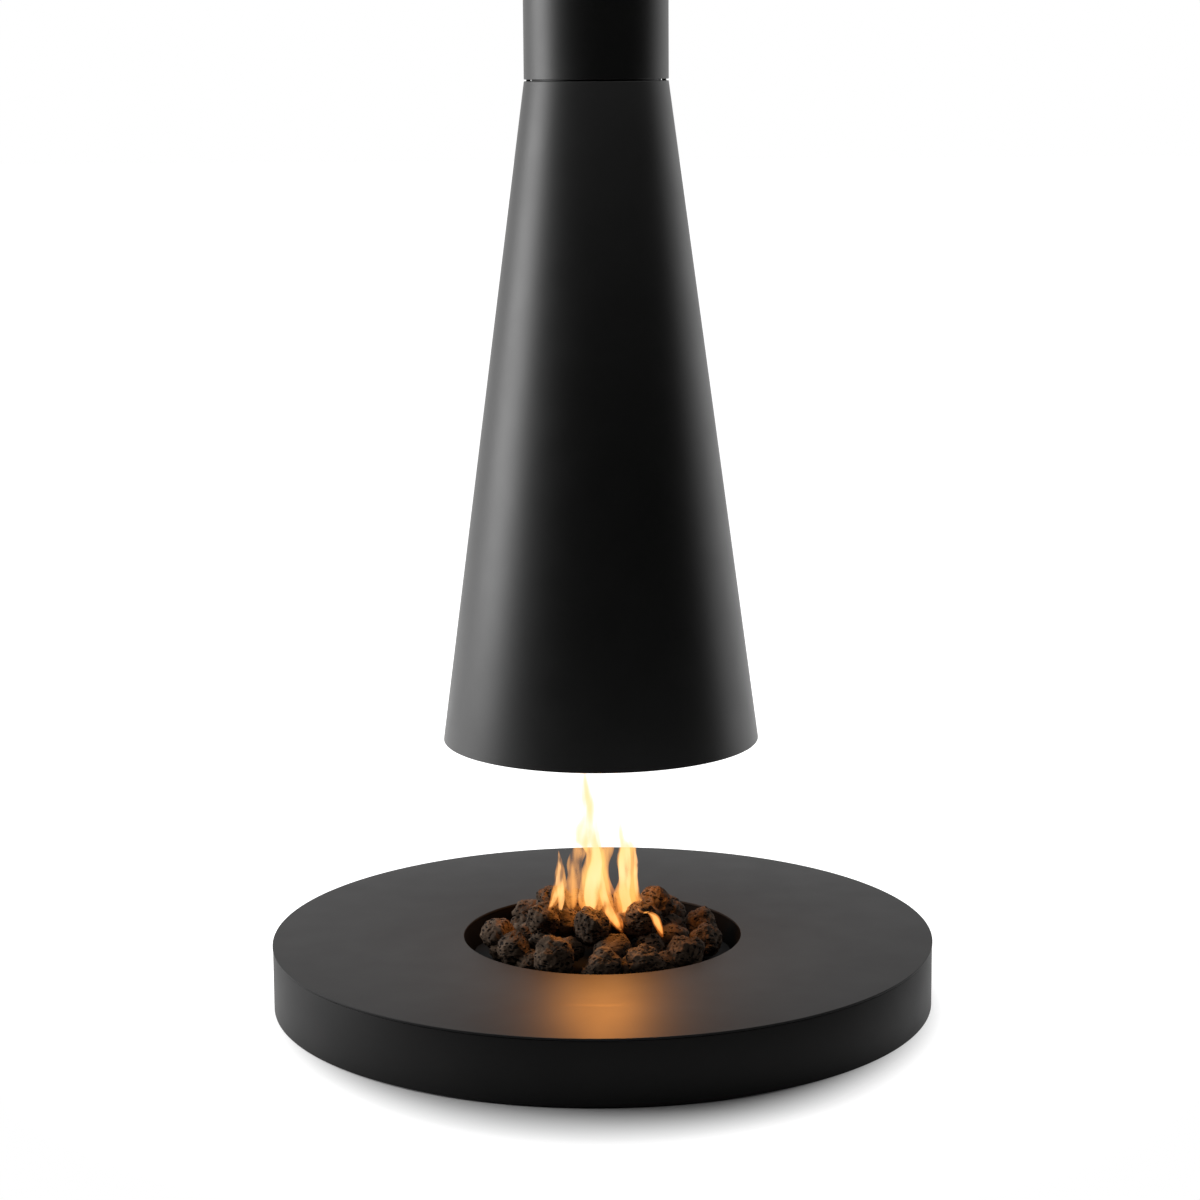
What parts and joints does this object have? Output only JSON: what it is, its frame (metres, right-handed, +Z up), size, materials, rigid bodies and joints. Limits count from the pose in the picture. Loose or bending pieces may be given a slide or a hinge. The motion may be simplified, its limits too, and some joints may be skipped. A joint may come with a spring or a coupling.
{
  "type": "hanging fireplace",
  "caption": "Round gas hearth with a sunken bowl of lava stones, under a tall conical hood that hangs on a telescopic flue from a ceiling canopy.",
  "frame": {"origin": "on the floor, under the centre of the hearth", "axes": "+Z up along the flue; +Y towards the back, where the service door is; +X to the right seen from the front"},
  "size_m": [1.6, 1.6, 2.835],
  "materials": {
    "hearth_paint": "satin black powder coat",
    "hood_paint": "satin black heat paint",
    "heat_paint": "matt black heat paint",
    "zinc_steel": "zinc plated sheet steel",
    "stainless_steel": "brushed stainless steel",
    "brass": "machined brass",
    "electrode_ceramic": "white technical ceramic",
    "seal_rope": "woven glass fibre seal rope",
    "lava_rock": "porous lava rock",
    "black_plastic": "matt moulded plastic",
    "red_plastic": "moulded plastic",
    "red_paint": "painted steel lever",
    "cast_alloy": "die cast alloy"
  },
  "bodies": {
    "root": {"hearth_top_plate": "hearth_paint", "hearth_skirt": "hearth_paint", "base_plate": "zinc_steel", "support_frame": "zinc_steel", "plinth_ring": "zinc_steel", "fire_bowl": "heat_paint", "media_tray": "heat_paint", "burner_ring": "stainless_steel", "burner_feed_pipe": "stainless_steel", "pilot_burner": "stainless_steel", "spark_electrode": "electrode_ceramic", "thermocouple": "brass", "lava_bed": "lava_rock", "lava_stone_1": "lava_rock", "lava_stone_2": "lava_rock", "lava_stone_3": "lava_rock", "lava_stone_4": "lava_rock", "lava_stone_5": "lava_rock", "lava_stone_6": "lava_rock", "lava_stone_7": "lava_rock", "lava_stone_8": "lava_rock", "lava_stone_9": "lava_rock", "lava_stone_10": "lava_rock", "lava_stone_11": "lava_rock", "lava_stone_12": "lava_rock", "lava_stone_13": "lava_rock", "lava_stone_14": "lava_rock", "lava_stone_15": "lava_rock", "lava_stone_16": "lava_rock", "lava_stone_17": "lava_rock", "door_frame": "zinc_steel", "door_hinge_pin": "stainless_steel", "control_panel": "zinc_steel", "gas_valve": "cast_alloy", "piezo_igniter": "black_plastic", "shutoff_cock": "brass", "gas_hose": "stainless_steel", "flue_cover": "hood_paint", "inner_flue": "stainless_steel", "damper_actuator": "black_plastic", "ceiling_plate": "zinc_steel", "ceiling_canopy": "hood_paint", "lift_frame": "zinc_steel", "winch_motor": "cast_alloy", "lift_cable_left": "stainless_steel", "lift_cable_right": "stainless_steel"},
    "hood": {"hood_cone": "hood_paint", "hood_liner": "heat_paint", "hood_collar": "zinc_steel", "slip_tube": "hood_paint", "slip_seal": "seal_rope"},
    "winch": {"winch_shaft": "stainless_steel"},
    "left_pulley": {"pulley_left": "cast_alloy"},
    "right_pulley": {"pulley_right": "cast_alloy"},
    "damper": {"damper_blade": "stainless_steel", "damper_spindle": "stainless_steel"},
    "door": {"service_door": "hearth_paint"},
    "knob": {"control_knob": "black_plastic"},
    "button": {"igniter_button": "red_plastic"},
    "lever": {"shutoff_lever": "red_paint"}
  },
  "joints": [
    {"name": "hood_slide", "type": "slide", "parent": "root", "child": "hood", "axis": [0, 0, 1], "range_m": [-0.3, 0], "deforming": ["lift_cable_left", "lift_cable_right"]},
    {"name": "winch_spin", "type": "hinge", "parent": "root", "child": "winch", "pos_m": [0, 0.178, 2.681], "axis": [1, 0, 0], "range_deg": [0, 614]},
    {"name": "pulley_left_spin", "type": "hinge", "parent": "root", "child": "left_pulley", "pos_m": [-0.157, 0.022, 2.687], "axis": [1, 0, 0], "range_deg": [0, 782]},
    {"name": "pulley_right_spin", "type": "hinge", "parent": "root", "child": "right_pulley", "pos_m": [0.157, 0.022, 2.687], "axis": [1, 0, 0], "range_deg": [0, 782]},
    {"name": "damper_turn", "type": "hinge", "parent": "root", "child": "damper", "pos_m": [0, 0, 2.687], "axis": [0, 1, 0], "range_deg": [0, 90]},
    {"name": "door_swing", "type": "hinge", "parent": "root", "child": "door", "pos_m": [0.144, 0.78185, 0.083], "axis": [0, 0, -1], "range_deg": [0, 90]},
    {"name": "knob_turn", "type": "hinge", "parent": "root", "child": "knob", "pos_m": [0.018, 0.66, 0.07], "axis": [0, 1, 0], "range_deg": [-210, 0]},
    {"name": "button_press", "type": "slide", "parent": "root", "child": "button", "axis": [0, 1, 0], "range_m": [-0.006, 0], "stiffness_N_per_m": 600},
    {"name": "lever_turn", "type": "hinge", "parent": "root", "child": "lever", "pos_m": [-0.17, 0.629, 0.072], "axis": [0, -1, 0], "range_deg": [0, 90]}
  ],
  "couplings": [
    {"joint": "winch_spin", "follows": "hood_slide", "rad_per_m": -35.714},
    {"joint": "pulley_left_spin", "follows": "hood_slide", "rad_per_m": -45.455},
    {"joint": "pulley_right_spin", "follows": "hood_slide", "rad_per_m": -45.455}
  ]
}
